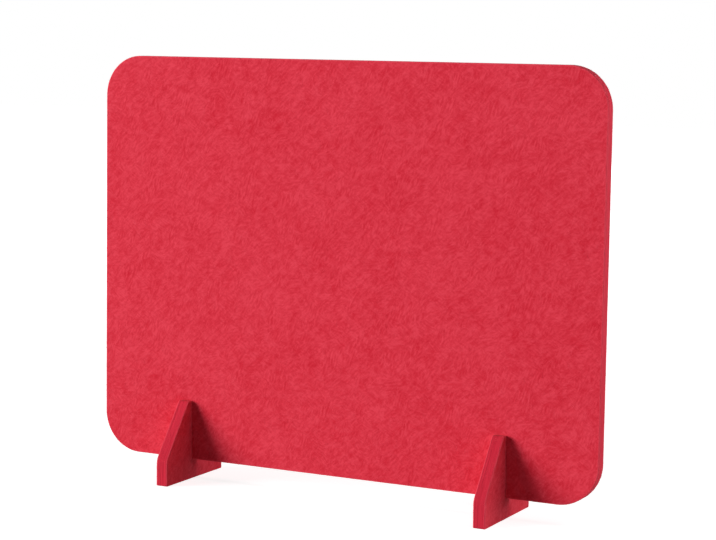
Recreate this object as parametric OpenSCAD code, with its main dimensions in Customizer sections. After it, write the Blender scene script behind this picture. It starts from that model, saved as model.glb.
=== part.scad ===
// Free-standing felt divider screen for a desk or table.
// A rounded panel stands in two feet, and all three are cut from one compressed felt board.
// Each foot crosses the panel in a halving joint: the panel has a slot from below, the foot
// has one from above, and the two slots meet in a flat seat. Nothing is glued or screwed.
// X runs along the panel, Y through it, and Z = 0 is the table top.

/* [Board] */
// Thickness of the felt board that every piece is cut from
board_t = 9; // [6:0.5:15]

/* [Panel] */
// Width of the panel
panel_w = 400; // [240:10:800]
// Height of the panel, from its lower edge to its upper edge
panel_h = 300; // [160:10:600]
// Radius of the four corners of the panel
panel_corner_r = 30; // [5:1:60]
// Gap between the table and the lower edge of the panel
panel_gap = 15; // [5:1:25]
// Depth of the slots in the lower edge of the panel
panel_slot_d = 22; // [10:1:36]

/* [Feet] */
// Distance from each end of the panel to the middle of its foot
foot_inset = 72.5; // [42.5:2.5:150]
// Length of a foot, from its front toe to its rear toe
foot_l = 78; // [50:1:140]
// Height of a foot
foot_h = 59; // [45:1:90]
// Height of the upright ends of a foot
foot_toe_h = 19.5; // [8:0.5:36]
// Radius of the rounded corner between an upright end and its slope
foot_corner_r = 10; // [1:0.5:12]
// How far the flat top of a foot stands out from each face of the panel
foot_lip = 4.5; // [2:0.5:12]

/* [Fit] */
// Clearance on each side of a slot
slot_clearance = 0.15; // [0.05:0.05:0.5]

/* [Hidden] */

// Width of every slot, which takes one thickness of board
slot_w = board_t + 2 * slot_clearance;
// Height of the seat where a panel slot rests in a foot slot
seat_z = panel_gap + panel_slot_d;
// Depth of the slot in the top of a foot
foot_slot_d = foot_h - seat_z;
// Distance from the middle of the panel to the middle of a foot
foot_x = panel_w / 2 - foot_inset;
// Length of the flat top of a foot
foot_top_l = board_t + 2 * foot_lip;
// Angle between an upright end and its slope
foot_turn = atan2((foot_l - foot_top_l) / 2, foot_h - foot_toe_h);
// Length of upright end, and of slope, that the rounded corner takes
foot_round = foot_corner_r * tan(foot_turn / 2);
// Rounded corner of a toe, from its upright end to its slope
corner_steps = 8;
foot_corner = [
    for (i = [0 : corner_steps])
        let (a = foot_turn * i / corner_steps)
        [foot_l / 2 - foot_corner_r * (1 - cos(a)), foot_toe_h - foot_round + foot_corner_r * sin(a)]
];

// How far a cut runs past the edge that it opens
cut_over = 1;
// Colour of the felt
felt_red = "#d63646";
$fn = 128;

// Rectangle with round corners, standing on its lower edge
module rounded_board(w, h, r) {
    for (side = [-1, 1], level = [r, h - r])
        translate([side * (w / 2 - r), level]) circle(r = r);
    translate([-w / 2, r]) square([w, h - 2 * r]);
    translate([r - w / 2, 0]) square([w - 2 * r, h]);
}

// Slot that runs down from its mouth, with the mouth at the origin
module slot(d) {
    translate([-slot_w / 2, -d]) square([slot_w, d + cut_over]);
}

// Side view of a foot: upright toes, rounded corners, straight slopes and a flat top
module foot_outline() {
    polygon(concat(
        [[-foot_l / 2, 0], [foot_l / 2, 0]],
        foot_corner,
        [[foot_top_l / 2, foot_h], [-foot_top_l / 2, foot_h]],
        [for (i = [corner_steps : -1 : 0]) [-foot_corner[i][0], foot_corner[i][1]]]
    ));
}

module panel() {
    color(felt_red)
        translate([0, 0, panel_gap])
        rotate([90, 0, 0])
        linear_extrude(height = board_t, center = true)
        difference() {
            rounded_board(panel_w, panel_h, panel_corner_r);
            for (side = [-1, 1])
                translate([side * foot_x, 0]) mirror([0, 1]) slot(panel_slot_d);
        }
}

module foot(x) {
    color(felt_red)
        translate([x, 0, 0])
        rotate([90, 0, 90])
        linear_extrude(height = board_t, center = true)
        difference() {
            foot_outline();
            translate([0, foot_h]) slot(foot_slot_d);
        }
}

module foot_left() {
    foot(-foot_x);
}

module foot_right() {
    foot(foot_x);
}

panel();
foot_left();
foot_right();
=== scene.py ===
import math
import random
import bmesh
import bpy
from mathutils import Matrix, Vector, noise


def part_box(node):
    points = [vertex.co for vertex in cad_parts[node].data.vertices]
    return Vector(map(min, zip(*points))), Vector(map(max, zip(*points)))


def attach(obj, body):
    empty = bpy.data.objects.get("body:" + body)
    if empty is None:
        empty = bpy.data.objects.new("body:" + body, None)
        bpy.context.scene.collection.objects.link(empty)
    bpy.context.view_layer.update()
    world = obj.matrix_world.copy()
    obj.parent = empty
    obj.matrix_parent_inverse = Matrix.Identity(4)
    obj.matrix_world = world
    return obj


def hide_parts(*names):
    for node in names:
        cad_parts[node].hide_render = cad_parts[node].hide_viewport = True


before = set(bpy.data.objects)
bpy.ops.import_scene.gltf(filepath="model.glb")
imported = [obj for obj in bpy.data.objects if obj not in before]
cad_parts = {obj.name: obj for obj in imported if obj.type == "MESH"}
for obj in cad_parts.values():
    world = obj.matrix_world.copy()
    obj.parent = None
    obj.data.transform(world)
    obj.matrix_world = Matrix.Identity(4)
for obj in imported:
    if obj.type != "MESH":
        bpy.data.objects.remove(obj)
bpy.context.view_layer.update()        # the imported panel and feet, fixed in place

scene = bpy.context.scene
mm = 0.001
quarter = math.pi / 2
print("frame loaded:", ", ".join(sorted(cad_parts)))

# Camera

camera = {
    "place": (0.6693, -1.2810, 0.3332),
    "turn": 27.157,       # degrees to the left of straight ahead
    "dip": 5.923,         # degrees below the horizon
    "roll": 0.838,        # degrees
    "lens": 102.06,
    "sensor": 36,
    "shiftUp": -0.0349,
    "nearest": 0.05,
}


def makeCamera(c):
    data = bpy.data.cameras.new("camera")
    data.lens = c["lens"]
    data.sensor_width = c["sensor"]
    data.shift_y = c["shiftUp"]
    data.clip_start = c["nearest"]
    obj = bpy.data.objects.new("camera", data)
    scene.collection.objects.link(obj)
    turn = Matrix.Rotation(math.radians(c["turn"]), 4, "Z")
    tilt = Matrix.Rotation(math.radians(90 - c["dip"]), 4, "X")
    roll = Matrix.Rotation(math.radians(c["roll"]), 4, "Z")
    obj.matrix_world = Matrix.Translation(c["place"]) @ turn @ tilt @ roll
    scene.camera = obj


makeCamera(camera)
print("camera placed")

# Node helpers


def makeGroup(name, inputs, outputs):
    tree = bpy.data.node_groups.new(name, "ShaderNodeTree")
    for label, kind, value in inputs:
        socket = tree.interface.new_socket(label, in_out="INPUT", socket_type=kind)
        if value is not None:
            socket.default_value = value
    for label, kind in outputs:
        tree.interface.new_socket(label, in_out="OUTPUT", socket_type=kind)
    return tree, tree.nodes.new("NodeGroupInput"), tree.nodes.new("NodeGroupOutput")


def addNode(tree, kind, links=None, **settings):
    # links maps an input, by name or number, to a value or to another node's output
    node = tree.nodes.new(kind)
    for key, value in settings.items():
        setattr(node, key, value)
    for key, value in (links or {}).items():
        if isinstance(value, bpy.types.NodeSocket):
            tree.links.new(value, node.inputs[key])
        else:
            node.inputs[key].default_value = value
    return node


def mathNode(tree, operation, a, b=0.0):
    return addNode(tree, "ShaderNodeMath", {0: a, 1: b}, operation=operation).outputs[0]


def vectorNode(tree, operation, a, b):
    return addNode(tree, "ShaderNodeVectorMath", {0: a, 1: b}, operation=operation).outputs[0]


def scaled(tree, value, amount, base=0.0, clamp=False):
    # base + amount * value
    links = {0: value, 1: amount, 2: base}
    return addNode(tree, "ShaderNodeMath", links, operation="MULTIPLY_ADD", use_clamp=clamp).outputs[0]


def mixValue(tree, factor, a, b):
    node = addNode(tree, "ShaderNodeMix", {"Factor": factor, "A": a, "B": b}, data_type="FLOAT")
    return node.outputs["Result"]


def mixColour(tree, factor, a, b):
    node = addNode(tree, "ShaderNodeMix", data_type="RGBA")
    for key, value in ((0, factor), (6, a), (7, b)):
        if isinstance(value, bpy.types.NodeSocket):
            tree.links.new(value, node.inputs[key])
        else:
            node.inputs[key].default_value = value if key == 0 else (*value, 1)
    return node.outputs[2]


def spread(tree, value, low, high):
    # stretches low..high to 0..1 with soft ends
    node = addNode(tree, "ShaderNodeMapRange", {"Value": value, "From Min": low, "From Max": high},
                   interpolation_type="SMOOTHSTEP")
    return node.outputs["Result"]


def noiseAt(tree, vector, scale, detail=1.0, roughness=0.5, output="Fac"):
    # scale is in bumps per metre, unless the vector is scaled already
    links = {"Vector": vector, "Scale": scale, "Detail": detail, "Roughness": roughness}
    return addNode(tree, "ShaderNodeTexNoise", links).outputs[output]


# Node groups: one lay of fibres, the mat of many lays, and the layers of a cut edge

feltMat = {     # a lay of fibres is given by its angle in degrees, its length and its width in mm
    "strokes": ((42, 4.8, 1.5), (8, 4.6, 1.4), (72, 4.6, 1.5), (-34, 4.2, 1.4)),
    "bundles": (40, 12, 4.2),
    "hairs": ((52, 5.0, 1.1), (18, 4.6, 1.0), (-14, 5.2, 1.1), (84, 4.6, 1.0), (-48, 4.8, 1.0)),
    "threads": ((37, 4.5, 0.45), (-29, 4.5, 0.45), (84, 4.5, 0.45)),
    "strokeRange": (0.36, 0.66),      # the part of each noise that shows
    "hairRange": (0.66, 0.80),
    "speckRange": (0.68, 0.80),
    "threadRange": (0.13, 0.01),
    "patchRange": (0.42, 0.58),
    "underShare": 0.35,               # share of the lay below, and of the bundles, in the strokes
    "bundleShare": 0.25,
    "curl": 2.5 * mm,                 # how far the lays wander
    "curlScale": 60.0,
    "patchScales": (85.0, 103.0),
    "speckScale": 620.0,
    "cloudNoises": ((170.0, 2.0), (46.0, 2.0), (17.0, 1.0)),     # scale and detail, from small to broad
    "cloudShares": (0.38, 0.22),      # shares of the last two
}

layGroup, gin, gout = makeGroup(
    "Fibre lay",
    [("Vector", "NodeSocketVector", None), ("Angle", "NodeSocketFloat", 0.0),
     ("Length", "NodeSocketFloat", 4 * mm), ("Width", "NodeSocketFloat", 1 * mm)],
    [("Value", "NodeSocketFloat")])
turned = addNode(layGroup, "ShaderNodeVectorRotate",
                 {"Vector": gin.outputs["Vector"], "Angle": gin.outputs["Angle"]}, rotation_type="Z_AXIS")
alongScale = mathNode(layGroup, "DIVIDE", 1.0, gin.outputs["Length"])
acrossScale = mathNode(layGroup, "DIVIDE", 1.0, gin.outputs["Width"])
scales = addNode(layGroup, "ShaderNodeCombineXYZ", {"X": alongScale, "Y": acrossScale, "Z": acrossScale})
stretched = vectorNode(layGroup, "MULTIPLY", turned.outputs[0], scales.outputs[0])
layGroup.links.new(noiseAt(layGroup, stretched, 1.0), gout.inputs["Value"])


def fibreLay(tree, vector, degrees, length, width):
    links = {"Vector": vector, "Angle": math.radians(-degrees), "Length": length * mm, "Width": width * mm}
    return addNode(tree, "ShaderNodeGroup", links, node_tree=layGroup).outputs["Value"]


matGroup, gin, gout = makeGroup(
    "Felt mat", [("Vector", "NodeSocketVector", None)],
    [("Strokes", "NodeSocketFloat"), ("Hairs", "NodeSocketFloat"), ("Cloud", "NodeSocketFloat"),
     ("Threads", "NodeSocketFloat")])
place = gin.outputs["Vector"]
drift = noiseAt(matGroup, place, feltMat["curlScale"], output="Color")
centred = vectorNode(matGroup, "SUBTRACT", drift, (0.5, 0.5, 0.5))
curled = vectorNode(matGroup, "MULTIPLY", centred, (feltMat["curl"],) * 3)
warped = vectorNode(matGroup, "ADD", place, curled)
# each patch is combed one way
lays = [fibreLay(matGroup, warped, *stroke) for stroke in feltMat["strokes"]]
patchA, patchB = (spread(matGroup, noiseAt(matGroup, place, scale), *feltMat["patchRange"])
                  for scale in feltMat["patchScales"])
combed = mixValue(matGroup, patchB, mixValue(matGroup, patchA, lays[0], lays[1]),
                  mixValue(matGroup, patchA, lays[2], lays[3]))
under = mixValue(matGroup, patchA, mixValue(matGroup, patchB, lays[3], lays[2]), lays[0])
crossed = mixValue(matGroup, feltMat["underShare"], combed, under)
bundle = fibreLay(matGroup, warped, *feltMat["bundles"])
strokes = mixValue(matGroup, feltMat["bundleShare"], crossed, bundle)
matGroup.links.new(spread(matGroup, strokes, *feltMat["strokeRange"]), gout.inputs["Strokes"])
hairs = spread(matGroup, noiseAt(matGroup, place, feltMat["speckScale"]), *feltMat["speckRange"])
for hair in feltMat["hairs"]:
    shown = spread(matGroup, fibreLay(matGroup, warped, *hair), *feltMat["hairRange"])
    hairs = mathNode(matGroup, "MAXIMUM", shown, hairs)
matGroup.links.new(hairs, gout.inputs["Hairs"])
# single fibres, thin lines where a lay crosses its middle value
threads = 0.0
for thread in feltMat["threads"]:
    away = mathNode(matGroup, "SUBTRACT", fibreLay(matGroup, warped, *thread), 0.5)
    line = spread(matGroup, mathNode(matGroup, "ABSOLUTE", away), *feltMat["threadRange"])
    threads = mathNode(matGroup, "MAXIMUM", line, threads)
matGroup.links.new(threads, gout.inputs["Threads"])
cloud, *broader = (noiseAt(matGroup, place, scale, detail) for scale, detail in feltMat["cloudNoises"])
for share, wider in zip(feltMat["cloudShares"], broader):
    cloud = mixValue(matGroup, share, cloud, wider)
matGroup.links.new(cloud, gout.inputs["Cloud"])

cutLayers = {
    "streaks": ((38, 1.15), (16, 0.5), (7, 0.24)),     # length and height in mm
    "finestShare": 0.4,                # share of the last streaks in the last two
    "finerShare": 0.45,                # share of the last two in all
    "range": (0.34, 0.66),
    "endNoise": (1500.0, 3.0, 0.6),    # scale, detail and roughness of the cut fibre ends
}

layerGroup, gin, gout = makeGroup(
    "Cut layers", [("Vector", "NodeSocketVector", None)],
    [("Layers", "NodeSocketFloat"), ("Ends", "NodeSocketFloat")])
layers = []
place = gin.outputs["Vector"]
for along, across in cutLayers["streaks"]:
    perStreak = (1 / (along * mm), 1 / (across * mm), 1 / (along * mm))
    layers.append(noiseAt(layerGroup, vectorNode(layerGroup, "MULTIPLY", place, perStreak), 1.0))
finer = mixValue(layerGroup, cutLayers["finestShare"], layers[1], layers[2])
both = mixValue(layerGroup, cutLayers["finerShare"], layers[0], finer)
layerGroup.links.new(spread(layerGroup, both, *cutLayers["range"]), gout.inputs["Layers"])
layerGroup.links.new(noiseAt(layerGroup, place, *cutLayers["endNoise"]), gout.inputs["Ends"])
print("node groups made")

# Felt materials

feltLook = {
    "dark": (0.565, 0.009, 0.026),      # gaps between fibres
    "light": (0.710, 0.042, 0.071),     # raised, brushed fibres
    "hair": (0.790, 0.078, 0.118),
    "cutDark": (0.506, 0.009, 0.030),   # cut edge of the board
    "cutLight": (0.622, 0.022, 0.049),
    "frayAndHighlight": (0.775, 0.072, 0.108),      # frayed fibres along an edge, made paler as a painted highlight on that edge
    "loose": (0.860, 0.088, 0.124),     # palest of the loose fibres
    "strokes": 0.60,                    # weight of each pattern in the tone
    "cloud": 1.75,
    "hairs": 0.26,
    "threads": 0.45,
    "threadMean": 0.62,
    "cutLayers": 0.8,
    "cutEnds": 0.8,
    "cutBase": -0.3,
    "faceFrayAndHighlight": 0.5,                    # how much of the fray and painted highlight colour an edge takes
    "cutFrayAndHighlight": 0.85,
    "panelCutPaintedLight": 1.1,                   # painted light: the panel's cut edge is made this much paler than the feet's, for the light that falls on it
    "rough": (0.85, 0.81),              # where the tone is dark, and where it is light
    "cutRough": (0.80, 0.90),
    "looseRough": 0.70,
    "bump": 0.008 * mm,
    "cutBump": 0.22 * mm,
    "threadHeight": 0.8,                # share of the bump
    "veil": 0.13,                       # pale gloss of the fibres in strong light
    "cutVeil": 0.15,
    "sheen": 0.04,
    "sheenRough": 0.5,
    "looseScale": 210.0,                # drift of the tone from one loose fibre to the next
    "looseRange": (0.45, 0.75),
}


def principled(name, turn, group, veil):
    # turn brings the pattern's own axes to the piece
    mat = bpy.data.materials.new(name)
    mat.use_nodes = True
    tree = mat.node_tree
    shader = tree.nodes["Principled BSDF"]
    shader.inputs["Specular IOR Level"].default_value = veil
    shader.inputs["Sheen Weight"].default_value = feltLook["sheen"]
    shader.inputs["Sheen Roughness"].default_value = feltLook["sheenRough"]
    place = addNode(tree, "ShaderNodeTexCoord").outputs["Object"]
    flat = addNode(tree, "ShaderNodeMapping", {"Vector": place, "Rotation": turn}).outputs[0]
    pattern = addNode(tree, "ShaderNodeGroup", {"Vector": flat}, node_tree=group).outputs
    arris = addNode(tree, "ShaderNodeAttribute", attribute_name="arris").outputs["Fac"]
    return mat, tree, shader, pattern, arris


def addBump(tree, shader, height, distance):
    bump = addNode(tree, "ShaderNodeBump", {"Height": height, "Distance": distance})
    tree.links.new(bump.outputs[0], shader.inputs["Normal"])


def feltFace(name, turn):
    look = feltLook
    mat, tree, shader, pattern, arris = principled(name, turn, matGroup, look["veil"])
    # strokes and cloud swing about 0.5, so this base brings the mean tone to 0.5
    tone = 0.5 - 0.5 * (look["strokes"] + look["cloud"]) - look["threadMean"] * look["threads"]
    tone = scaled(tree, pattern["Threads"], look["threads"], tone)
    tone = scaled(tree, pattern["Strokes"], look["strokes"], tone)
    tone = scaled(tree, pattern["Cloud"], look["cloud"], tone, clamp=True)
    base = mixColour(tree, tone, look["dark"], look["light"])
    haired = mixColour(tree, scaled(tree, pattern["Hairs"], look["hairs"]), base, look["hair"])
    # the edge takes the pale fray colour: frayed fibres and a painted highlight along the edge
    frayedAndHighlit = mixColour(tree, scaled(tree, arris, look["faceFrayAndHighlight"]), haired, look["frayAndHighlight"])
    tree.links.new(frayedAndHighlit, shader.inputs["Base Color"])
    tree.links.new(mixValue(tree, tone, *look["rough"]), shader.inputs["Roughness"])
    addBump(tree, shader, scaled(tree, pattern["Threads"], look["threadHeight"], tone), look["bump"])
    return mat


def feltCut(name, turn, lift=1.0):
    look = feltLook
    # lift pales the cut colours, painted light where the panel's end should catch more light
    dark, light = ([c * lift for c in look[key]] for key in ("cutDark", "cutLight"))
    mat, tree, shader, pattern, arris = principled(name, turn, layerGroup, look["cutVeil"])
    tone = scaled(tree, pattern["Layers"], look["cutLayers"], look["cutBase"])
    tone = scaled(tree, pattern["Ends"], look["cutEnds"], tone, clamp=True)
    base = mixColour(tree, tone, dark, light)
    # the edge takes the pale fray colour: frayed fibres and a painted highlight along the edge
    frayedAndHighlit = mixColour(tree, scaled(tree, arris, look["cutFrayAndHighlight"]), base, look["frayAndHighlight"])
    tree.links.new(frayedAndHighlit, shader.inputs["Base Color"])
    tree.links.new(mixValue(tree, tone, *look["cutRough"]), shader.inputs["Roughness"])
    addBump(tree, shader, tone, look["cutBump"])
    return mat


def looseFelt():
    mat = bpy.data.materials.new("looseFelt")
    mat.use_nodes = True
    tree = mat.node_tree
    shader = tree.nodes["Principled BSDF"]
    shader.inputs["Roughness"].default_value = feltLook["looseRough"]
    shader.inputs["Specular IOR Level"].default_value = feltLook["veil"]
    place = addNode(tree, "ShaderNodeTexCoord").outputs["Object"]
    tone = spread(tree, noiseAt(tree, place, feltLook["looseScale"], 0.0), *feltLook["looseRange"])
    tree.links.new(mixColour(tree, tone, feltLook["light"], feltLook["loose"]), shader.inputs["Base Color"])
    return mat


panelFace = feltFace("panelFace", (-quarter, 0, 0))
footFace = feltFace("footFace", (0, quarter, 0))
# the panel's cut edge is paled, painted light on its end
panelCut = feltCut("panelCut", (0, 0, 0), feltLook["panelCutPaintedLight"])
footCut = feltCut("footCut", (0, 0, quarter))
loose = looseFelt()
print("felt materials made")

# Felt boards, modelled flat in XY and then stood up

board = {
    "clearance": 0.15 * mm,   # on each side of a slot
    "arrisRadius": 0.4 * mm,
    "arrisAngles": (0, 30, 60, 90),     # rows of the soft edge
    "faceShare": 0.3,         # share of the soft edge that belongs to the pressed face
    "rim": 1.2 * mm,          # strip that carries the soft edge
    "frayAndHighlight": 1.1 * mm,         # how far the frayed colour and its painted highlight reach into the cut edge
    "layerStep": 0.7 * mm,
    "snap": 0.2 * mm,         # a slice nearer than this to a corner goes through it
    "merge": 0.001 * mm,
    "wave": 0.11 * mm,        # relief of the pressed faces, and the size of one bump
    "waveSize": 34 * mm,
    "dimple": 0.03 * mm,
    "dimpleSize": 6.5 * mm,
    "fade": 4,                # how sharply that relief dies away into the board
    "cutWave": 0.07 * mm,     # relief of the cut edge
    "cutWaveSize": 12 * mm,
    "layer": 0.05 * mm,
    "layerLength": 10 * mm,
    "layerHeight": 0.6 * mm,
}


def faceRelief(x, y, seed):
    wave, dimple = board["waveSize"], board["dimpleSize"]
    broad = noise.noise(Vector((x / wave, y / wave, seed)))
    small = noise.fractal(Vector((x / dimple, y / dimple, seed + 9)), 1.0, 2.0, 2)
    return board["wave"] * broad + board["dimple"] * small


def cutRelief(x, y, z, seed):
    wave, along = board["cutWaveSize"], board["layerLength"]
    broad = noise.noise(Vector((x / wave, y / wave, seed + 4)))
    layer = noise.noise(Vector((x / along, y / along, z / board["layerHeight"] + seed)))
    return board["cutWave"] * broad + board["layer"] * layer


def pick(geom, kind):
    return [g for g in geom if isinstance(g, kind)]


def sliceGrid(bm, step):
    # each slice only cuts what is still ahead of it
    for axis in (0, 1):
        low = min(v.co[axis] for v in bm.verts)
        high = max(v.co[axis] for v in bm.verts)
        count = round((high - low) / step)
        normal = Vector((axis == 0, axis == 1, 0))
        ahead = bm.faces[:]
        for i in range(1, count):
            place = low + (high - low) * i / count
            geom = list({part for f in ahead for part in (f, *f.verts, *f.edges)})
            cut = bmesh.ops.bisect_plane(bm, geom=geom, dist=board["snap"], plane_co=normal * place,
                                         plane_no=normal)
            ahead = [f for f in pick(cut["geom"], bmesh.types.BMFace)
                     if max(v.co[axis] for v in f.verts) > place + board["snap"]]


def makeUpperFace(bm, outline, rounds, height, step):
    corners = [bm.verts.new((x, y, height)) for x, y in outline]
    bm.faces.new(corners)
    for picks, offset, segments in rounds:
        bmesh.ops.bevel(bm, geom=[corners[i] for i in picks], offset=offset, segments=segments, profile=0.5,
                        affect="VERTICES", material=-1)
    bmesh.ops.inset_region(bm, faces=bm.faces[:], thickness=board["rim"], use_even_offset=True,
                           use_boundary=True)
    sliceGrid(bm, step)


def markOutward(bm):
    # keeps the way out of the board with each point of the outline
    outward = bm.verts.layers.float_vector.new("outward")
    for face in bm.faces:
        for loop in face.loops:
            if loop.edge.is_boundary:
                run = (loop.link_loop_next.vert.co - loop.vert.co).normalized()
                for v in loop.edge.verts:
                    v[outward] = v[outward] + Vector((run.y, -run.x, 0))
    for v in bm.verts:
        if v[outward].length > 0:
            v[outward] = v[outward].normalized()
    return outward


def addLowerFace(bm, thickness):
    copy = bmesh.ops.duplicate(bm, geom=bm.verts[:] + bm.edges[:] + bm.faces[:])["geom"]
    bmesh.ops.translate(bm, verts=pick(copy, bmesh.types.BMVert), vec=(0, 0, -thickness))
    bmesh.ops.reverse_faces(bm, faces=pick(copy, bmesh.types.BMFace))


def addCutEdge(bm, thickness):
    # rows of faces down the edge, close together at the soft corners
    radius = board["arrisRadius"]
    soft = [radius * (1 - math.cos(math.radians(a))) for a in board["arrisAngles"]]
    middle = thickness - 2 * radius
    count = round(middle / board["layerStep"])
    rows = soft + [radius + middle * i / count for i in range(1, count)]
    rows += [thickness - d for d in reversed(soft)]
    faced = radius * board["faceShare"]
    edges = [e for e in bm.edges if e.is_boundary and all(v.co.z > 0 for v in e.verts)]
    for above, below in zip(rows, rows[1:]):
        made = bmesh.ops.extrude_edge_only(bm, edges=edges)["geom"]
        bmesh.ops.translate(bm, verts=pick(made, bmesh.types.BMVert), vec=(0, 0, above - below))
        edges = [e for e in pick(made, bmesh.types.BMEdge) if e.is_boundary]
        if above > faced and thickness - below > faced:
            for f in pick(made, bmesh.types.BMFace):
                f.material_index = 1
    bmesh.ops.remove_doubles(bm, verts=bm.verts[:], dist=board["merge"])


def addRelief(bm, outward, half, seed):
    # half is half the thickness; the attribute arris is 1 at the edge of a face
    radius = board["arrisRadius"]
    arris = bm.verts.layers.float.new("arris")
    for v in bm.verts:
        x, y, z = v.co
        side = math.copysign(1, z)
        if v[outward].length > 0:
            over = max(0, abs(z) - (half - radius))
            inset = radius - math.sqrt(max(0, radius * radius - over * over))
            v.co -= v[outward] * (inset + abs(cutRelief(x, y, z, seed)))
            v[arris] = max(0, 1 - (half - abs(z)) / board["frayAndHighlight"])
        v.co.z += side * faceRelief(x, y, seed + side) * min(1, abs(z) / half) ** board["fade"]


def finishMesh(bm, name, materials, smooth):
    for f in bm.faces:
        f.smooth = smooth
    mesh = bpy.data.meshes.new(name)
    bm.to_mesh(mesh)
    bm.free()
    for mat in materials:
        mesh.materials.append(mat)
    print(name + ":", len(mesh.polygons), "faces")
    return mesh


def boardMesh(name, outline, rounds, thickness, step, stand, seed, materials):
    bm = bmesh.new()
    makeUpperFace(bm, outline, rounds, thickness / 2, step)
    outward = markOutward(bm)
    addLowerFace(bm, thickness)
    addCutEdge(bm, thickness)
    addRelief(bm, outward, thickness / 2, seed)
    bmesh.ops.recalc_face_normals(bm, faces=bm.faces[:])
    bmesh.ops.transform(bm, matrix=stand, verts=bm.verts[:])
    return finishMesh(bm, name, materials, True)


def showPiece(name, data, body, node=None):
    obj = bpy.data.objects.new(name, data)
    scene.collection.objects.link(obj)
    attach(obj, body)
    if node:
        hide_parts(node)


# Loose fibres, short bent tubes that stand a little off the felt

fibre = {
    "length": (1.4 * mm, 5.5 * mm),
    "radius": 0.036 * mm,
    "thick": (0.65, 1.35),    # times the radius
    "rise": (0.002 * mm, 0.03 * mm),
    "bend": 35,               # degrees from the middle to an end
    "tilt": 45,               # turns a flat side of the tube up
    "shape": ((-0.5, 1, 0), (-0.2, 2.6, 1), (0.2, 2.6, 1), (0.5, 0.4, 0)),     # place, rise and thickness
    "proud": 0.35 * mm,       # furthest that one stands off a pressed face
    "joint": 8.8 * mm,        # none starts this near to the middle of a joint
    "jointEnd": 2 * mm,       # nor this far past its end
    "arrisFrom": 0.6,         # from here on the arris attribute counts as the soft edge
}


def addFibre(curve, rng, centre, normal, low, high):
    length = rng.uniform(*fibre["length"])
    rise = rng.uniform(*fibre["rise"])
    thick = rng.uniform(*fibre["thick"])
    bend = math.radians(fibre["bend"]) * rng.uniform(-1, 1)
    forward = Matrix.Rotation(rng.uniform(0, 2 * math.pi), 3, normal) @ normal.orthogonal().normalized()
    sideways = normal.cross(forward)
    spline = curve.splines.new("POLY")
    spline.points.add(len(fibre["shape"]) - 1)
    for point, (along, lift, width) in zip(spline.points, fibre["shape"]):
        place = centre + (forward * along + sideways * bend * along ** 2) * length + normal * rise * lift
        point.co = (*(min(max(place[k], low[k]), high[k]) for k in range(3)), 1)
        point.radius = thick * width
        point.tilt = math.radians(fibre["tilt"])


def nearJoint(place, joints):
    # each joint is an axis, its middle on that axis, its lower end and its upper end
    return any(abs(place[axis] - middle) < fibre["joint"] and bottom < place.z < top
               for axis, middle, bottom, top in joints)


def looseFibres(name, data, low, high, flat, counts, joints, seed):
    # flat is the axis through the board; counts is for faces, cut edges and soft edges
    rng = random.Random(seed)
    arris = data.attributes["arris"].data
    groups = ([], [], [])
    for poly in sorted(data.polygons, key=lambda p: tuple(p.center)):      # the same order at every run
        if not nearJoint(poly.center, joints):
            rounded = max(arris[i].value for i in poly.vertices) > fibre["arrisFrom"]
            groups[2 if rounded else poly.material_index].append(poly)
    margin = Vector([fibre["thick"][1] * fibre["radius"]] * 3)
    low, high = low + margin, high - margin
    low[flat] -= fibre["proud"]
    high[flat] += fibre["proud"]
    curve = bpy.data.curves.new(name, "CURVE")
    curve.dimensions = "3D"
    curve.bevel_depth = fibre["radius"]
    curve.bevel_resolution = 0
    for polys, count in zip(groups, counts):
        for poly in rng.choices(polys, weights=[q.area for q in polys], k=count):
            corners = [data.vertices[i].co for i in poly.vertices]
            shares = [rng.random() for q in corners]
            centre = sum((q * w for q, w in zip(corners, shares)), Vector()) / sum(shares)
            addFibre(curve, rng, centre, poly.normal, low, high)
    bm = bmesh.new()
    bm.from_mesh(bpy.data.meshes.new_from_object(bpy.data.objects.new(name + "Curve", curve)))
    bmesh.ops.remove_doubles(bm, verts=bm.verts[:], dist=board["merge"])      # closes the pointed ends
    return finishMesh(bm, name, [loose], False)


# Panel

panelLow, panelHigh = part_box("panel")
leftLow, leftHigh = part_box("foot_left")
rightLow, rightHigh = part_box("foot_right")
boardThickness = panelHigh.y - panelLow.y
slotHalf = boardThickness / 2 + board["clearance"]
footPlaces = [(leftLow.x + leftHigh.x) / 2, (rightLow.x + rightHigh.x) / 2]

panel = {
    "cornerRadius": 30 * mm,
    "cornerSegments": 24,
    "slotDepth": 22 * mm,
    "grain": 1.9 * mm,                # size of the faces that carry the relief
    "seed": 3.0,
    "fibres": (6500, 900, 1800),      # on the faces, the cut edge and the soft edges
    "fibreSeed": 5,
}
seat = panelLow.z + panel["slotDepth"]      # where the panel's slots rest in the feet's


def panelOutline():
    points = [(panelLow.x, panelLow.z)]
    for x in footPlaces:
        points += [(x - slotHalf, panelLow.z), (x - slotHalf, seat), (x + slotHalf, seat),
                   (x + slotHalf, panelLow.z)]
    return points + [(panelHigh.x, panelLow.z), (panelHigh.x, panelHigh.z), (panelLow.x, panelHigh.z)]


def makePanel():
    outline = panelOutline()
    last = len(outline) - 1
    rounds = [((0, last - 2, last - 1, last), panel["cornerRadius"], panel["cornerSegments"])]
    stand = Matrix.Rotation(quarter, 4, "X")      # XY of the flat board becomes XZ
    mesh = boardMesh("panelFelt", outline, rounds, boardThickness, panel["grain"], stand, panel["seed"],
                     [panelFace, panelCut])
    showPiece("panelFelt", mesh, "panel", "panel")
    joints = [(0, x, 0, leftHigh.z + fibre["jointEnd"]) for x in footPlaces]
    fibres = looseFibres("panelFibres", mesh, panelLow, panelHigh, 1, panel["fibres"], joints,
                         panel["fibreSeed"])
    showPiece("panelFibres", fibres, "panel")


makePanel()
print("panel made")

# Feet

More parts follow.
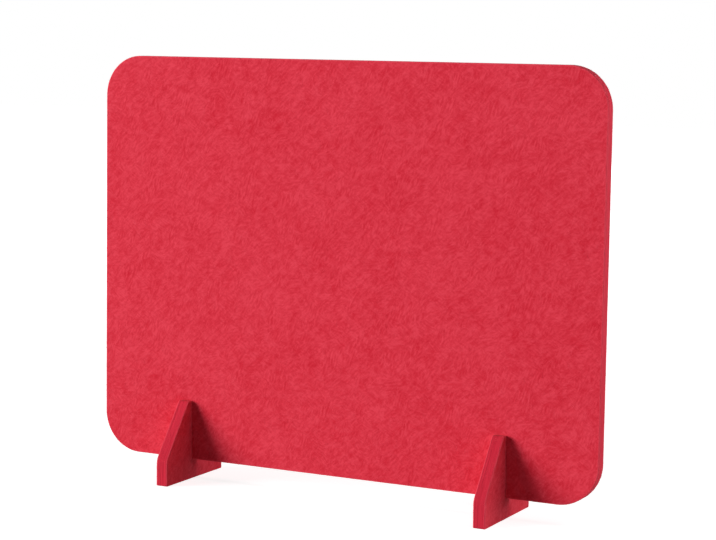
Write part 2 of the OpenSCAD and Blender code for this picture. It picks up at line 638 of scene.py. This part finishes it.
foot = {
    "toeHeight": 19.5 * mm,
    "toeRadius": 10 * mm,     # rounded corner between toe and slope
    "toeSegments": 8,
    "lip": 4.5 * mm,          # flat top beyond each face of the panel
    "softCorner": 0.9 * mm,
    "softSegments": 4,
    "grain": 1.2 * mm,
    "fibres": (420, 130, 300),
}
footTop = boardThickness / 2 + foot["lip"]


def footOutline(low, high):
    return [(low.y, low.z), (high.y, low.z), (high.y, foot["toeHeight"]), (footTop, high.z),
            (slotHalf, high.z), (slotHalf, seat), (-slotHalf, seat), (-slotHalf, high.z),
            (-footTop, high.z), (low.y, foot["toeHeight"])]


def makeFoot(name, node, body, seed):
    low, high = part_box(node)
    slope = math.atan2(high.y - footTop, high.z - foot["toeHeight"])
    # the corners are numbered as footOutline gives them
    rounds = [((0, 1, 3, 8), foot["softCorner"], foot["softSegments"]),
              ((2, 9), foot["toeRadius"] * math.tan(slope / 2), foot["toeSegments"])]
    # XY of the flat board becomes YZ
    stand = Matrix(((0, 0, 1, (low.x + high.x) / 2), (1, 0, 0, 0), (0, 1, 0, 0), (0, 0, 0, 1)))
    mesh = boardMesh(name, footOutline(low, high), rounds, high.x - low.x, foot["grain"], stand, seed,
                     [footFace, footCut])
    joints = [(1, 0, panelLow.z - fibre["jointEnd"], high.z + fibre["jointEnd"])]
    fibres = looseFibres(name + "Fibres", mesh, low, high, 0, foot["fibres"], joints, seed)
    showPiece(name + "Fibres", fibres, body)
    showPiece(name, mesh, body, node)


makeFoot("footLeftFelt", "foot_left", "foot_left", 17.0)
makeFoot("footRightFelt", "foot_right", "foot_right", 31.0)
print("feet made")

# Studio: floor, softboxes and world

lamps = {     # turn is in degrees from the front to the right, rise in degrees above level
    "key": {"turn": -52, "rise": 11, "distance": 6.0, "width": 3.1, "height": 2.6, "power": 505},
    "side": {"turn": 100, "rise": 8, "distance": 0.9, "width": 0.4, "height": 0.4, "power": 2.6},
    "low": {"turn": 110, "rise": 4, "distance": 1.2, "width": 0.4, "height": 0.4, "power": 1.2},
    "top": {"turn": 90, "rise": 60, "distance": 3.0, "width": 1.6, "height": 1.6, "power": 24},
    "back": {"turn": 180, "rise": 5, "distance": 4.0, "width": 2.0, "height": 0.7, "power": 45},
}
studio = {
    "aim": (0, 0, 0.16),
    "ambient": 0.01,
    "floorSize": 12.0,
    "floorColour": (0.56, 0.56, 0.56, 1),
    "floorGlow": (0.80, 1.0),       # near the screen, and far from it
    "glowReach": (0.45, 1.4),       # where near ends and far begins
}


def softbox(name, turn, rise, distance, width, height, power):
    data = bpy.data.lights.new(name, "AREA")
    data.shape = "RECTANGLE"
    data.size = width
    data.size_y = height
    data.energy = power
    obj = bpy.data.objects.new(name, data)
    obj.visible_camera = False
    scene.collection.objects.link(obj)
    a, e = math.radians(turn), math.radians(rise)
    back = Vector((math.sin(a) * math.cos(e), -math.cos(a) * math.cos(e), math.sin(e)))
    place = Matrix.Translation(Vector(studio["aim"]) + back * distance)
    obj.matrix_world = place @ back.to_track_quat("Z", "Y").to_matrix().to_4x4()


def seenDirectly(tree):
    # 1 for what the camera, a reflection or a transparent piece sees, 0 for what lights the screen
    path = addNode(tree, "ShaderNodeLightPath")
    seen = mathNode(tree, "MAXIMUM", path.outputs["Is Camera Ray"], path.outputs["Is Glossy Ray"])
    return mathNode(tree, "MAXIMUM", seen, path.outputs["Is Transmission Ray"])


def floorPaper():
    mat = bpy.data.materials.new("floor")
    mat.use_nodes = True
    tree = mat.node_tree
    tree.nodes.clear()
    paper = addNode(tree, "ShaderNodeBsdfDiffuse", {"Color": studio["floorColour"]})
    place = addNode(tree, "ShaderNodeTexCoord").outputs["Object"]
    away = addNode(tree, "ShaderNodeVectorMath", {0: place}, operation="LENGTH").outputs["Value"]
    level = mixValue(tree, spread(tree, away, *studio["glowReach"]), *studio["floorGlow"])
    shown = mathNode(tree, "MULTIPLY", seenDirectly(tree), level)
    glow = addNode(tree, "ShaderNodeEmission", {"Strength": shown})
    both = addNode(tree, "ShaderNodeAddShader", {0: paper.outputs[0], 1: glow.outputs[0]})
    out = addNode(tree, "ShaderNodeOutputMaterial")
    tree.links.new(both.outputs[0], out.inputs["Surface"])
    return mat


def makeFloor():
    bm = bmesh.new()
    bmesh.ops.create_grid(bm, x_segments=1, y_segments=1, size=studio["floorSize"] / 2)
    obj = bpy.data.objects.new("floor", finishMesh(bm, "floor", [floorPaper()], False))
    scene.collection.objects.link(obj)


def makeWorld():
    world = bpy.data.worlds.new("world")
    world.use_nodes = True
    tree = world.node_tree
    strength = mixValue(tree, seenDirectly(tree), studio["ambient"], 1.0)
    tree.links.new(strength, tree.nodes["Background"].inputs["Strength"])
    tree.nodes["Background"].inputs["Color"].default_value = (1, 1, 1, 1)
    scene.world = world


for name, lamp in lamps.items():
    softbox(name, **lamp)
makeFloor()
makeWorld()
scene.view_settings.view_transform = "Standard"
print("studio lit")
